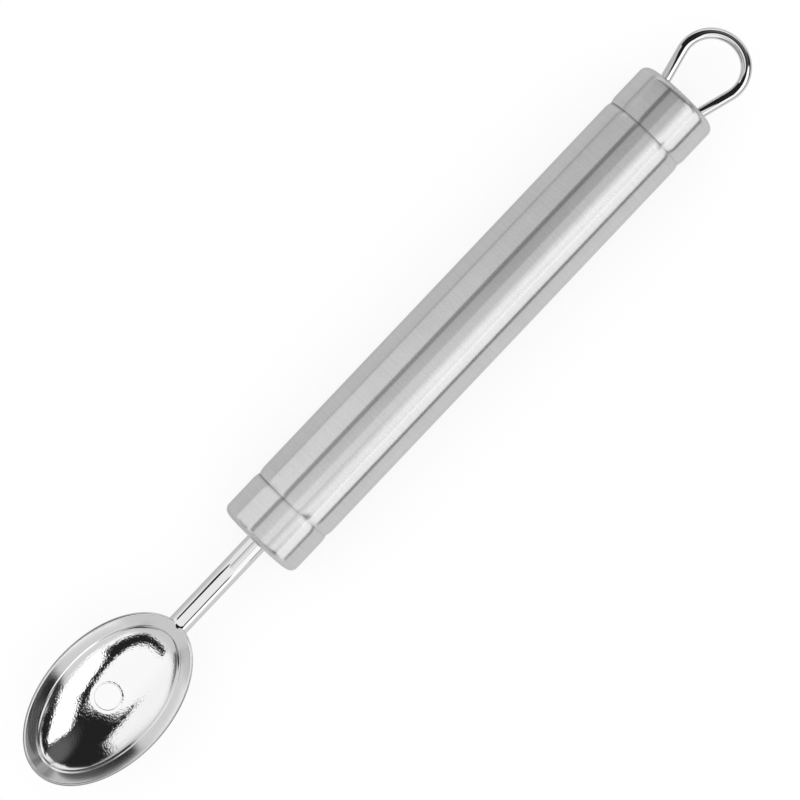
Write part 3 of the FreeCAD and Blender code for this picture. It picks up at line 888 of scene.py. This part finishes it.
def strip(ends, near, far):
    """Corners of a strip between two ends in X, from a near edge to a far edge, both in Y and Z."""
    return [(ends[0], *near), (ends[1], *near), (ends[1], *far), (ends[0], *far)]


def cards():
    """Cards beside the tool. On one side of the grip: a dark boom with its shade, a screen, a rail and a grey
    board. On the other: lit edges, a bridge and a skirt, a rail and a board. By the bowl: the end of a dark
    clamp. Each strip has its ends in X, its two edges in Y and Z, its levels across, and its share along."""
    high, low = CARD_HEIGHT, BOARD_HEIGHT
    for name, ends, near, far, levels, along in (
        ("boom", ABOVE, (0.007, high), (0.0109, high), (0.33, 0.32), ((-0.03, 1.44), (0.05, 0.86))),
        ("boom_shade", ABOVE, (-0.0008, high), (0.007, high), (0.668, 0.634), ((-0.03, 1.5), (0.03, 0.94))),
        ("lit_edge", ABOVE, (-0.0065, high), (-0.0008, high), (0.89, 0.87), ((-0.03, 1.37), (0.03, 0.97))),
        ("lit_rim", ABOVE, (-0.0125, high), (-0.0065, high), (1.5, 0.92), ((-0.03, 0.93), (0.05, 1.03))),
        ("screen", ABOVE, (0.011, high), (0.05, 0.016), (0.92, 0.9), ((-0.03, 1.27), (0.05, 0.82))),
        ("far_rail", BESIDE, (0.07, 0.0103), (0.0701, 0.021), (0.6, 0.6), ((-0.03, 1.25), (0.05, 0.82))),
        ("far_shade", ROOM, (0.009, low), (0.02, low), (0.58, 0.79), EVEN),
        ("far_board", ROOM, (0.02, low), (2.0, low), (0.79, 0.8), EVEN),
        ("skirt", BESIDE, (-0.0175, 0.023), (-0.052, 0.0208), (1.44, 1.42), EVEN),
        ("near_rail", BESIDE, (-0.07, 0.0127), (-0.0701, 0.0235), (0.3, 0.3), EVEN),
        ("near_shade", ROOM, (-0.009, low), (-0.02, low), (0.7, 0.92), EVEN),
        ("near_board", ROOM, (-0.02, low), (-2.0, low), (0.92, 0.92), EVEN),
    ):
        card(name, strip(ends, near, far), levels, along)
    card("bridge", BRIDGE, (1.2, 1.5), EVEN)
    card("clamp", CLAMP, (DARK_LEVEL, DARK_LEVEL), EVEN)


def surroundings():
    """A plain white world: it is the background, and it lights the floor."""
    world = bpy.data.worlds.new("white_world")
    world.use_nodes = True
    world.node_tree.nodes.clear()
    start = Wire(world.node_tree)
    white = start.node("ShaderNodeBackground", None, {"Color": grey(1.0), "Strength": WORLD_LEVEL})
    start.node("ShaderNodeOutputWorld", None, {"Surface": white})
    world.cycles.sampling_method = "NONE"
    bpy.context.scene.world = world


def camera():
    """The photograph's camera: straight above, turned so that the tool runs up to the right."""
    data = bpy.data.cameras.new("camera")
    data.lens = data.sensor_width * FOCAL_PIXELS / PHOTO_SIDE
    made = bpy.data.objects.new("camera", data)
    bpy.context.scene.collection.objects.link(made)
    right = Vector((math.cos(AXIS_SLOPE), -math.sin(AXIS_SLOPE), 0))
    up = Vector((math.sin(AXIS_SLOPE), math.cos(AXIS_SLOPE), 0))
    made.matrix_world = Matrix((
        (right.x, up.x, 0, VIEW_CENTRE[0]),
        (right.y, up.y, 0, VIEW_CENTRE[1]),
        (0, 0, 1, AXIS_HEIGHT + FOCAL_PIXELS * PIXEL_SIZE),
        (0, 0, 0, 1),
    ))
    data.clip_start = 0.01
    bpy.context.scene.camera = made


def dress():
    """Every piece that shows, in place of its solid, with its finish."""
    satin = satin_steel()
    polished = polished_steel()
    weld = weld_metal()
    plug = moulded_plug()
    for piece, node, slot, material in (
        (polished_bowl(), "scoop_bowl", "polished_steel", polished),
        (weld_bead(), "bowl_weld", "weld_metal", weld),
        (round_stem(), "stem", "polished_steel", polished),
        (front_cup(), "front_cap", "satin_steel", satin),
        (grip_tube(), "grip_tube", "satin_steel", satin),
        (rear_cup(), "rear_cap", "satin_steel", satin),
        (wire_loop(), "hanging_loop", "polished_steel", polished),
    ):
        piece.data.materials.append(material)
        if material is satin:
            lay_grain(piece)
            # Painted shade in the grooves at the seams of the satin pieces
            mark_seam_shade(piece)
        if node in ("stem", "hanging_loop"):
            mark(piece.data, DRAWN, np.ones(len(piece.data.vertices)))
        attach(piece, "root")
        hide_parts(node)
    for node in ("front_plug", "rear_plug"):
        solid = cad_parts[node]
        solid.data.materials.clear()
        solid.data.materials.append(plug)


dress()
floor()
tent()
cards()
surroundings()
camera()
bpy.context.scene.view_settings.view_transform = "Standard"
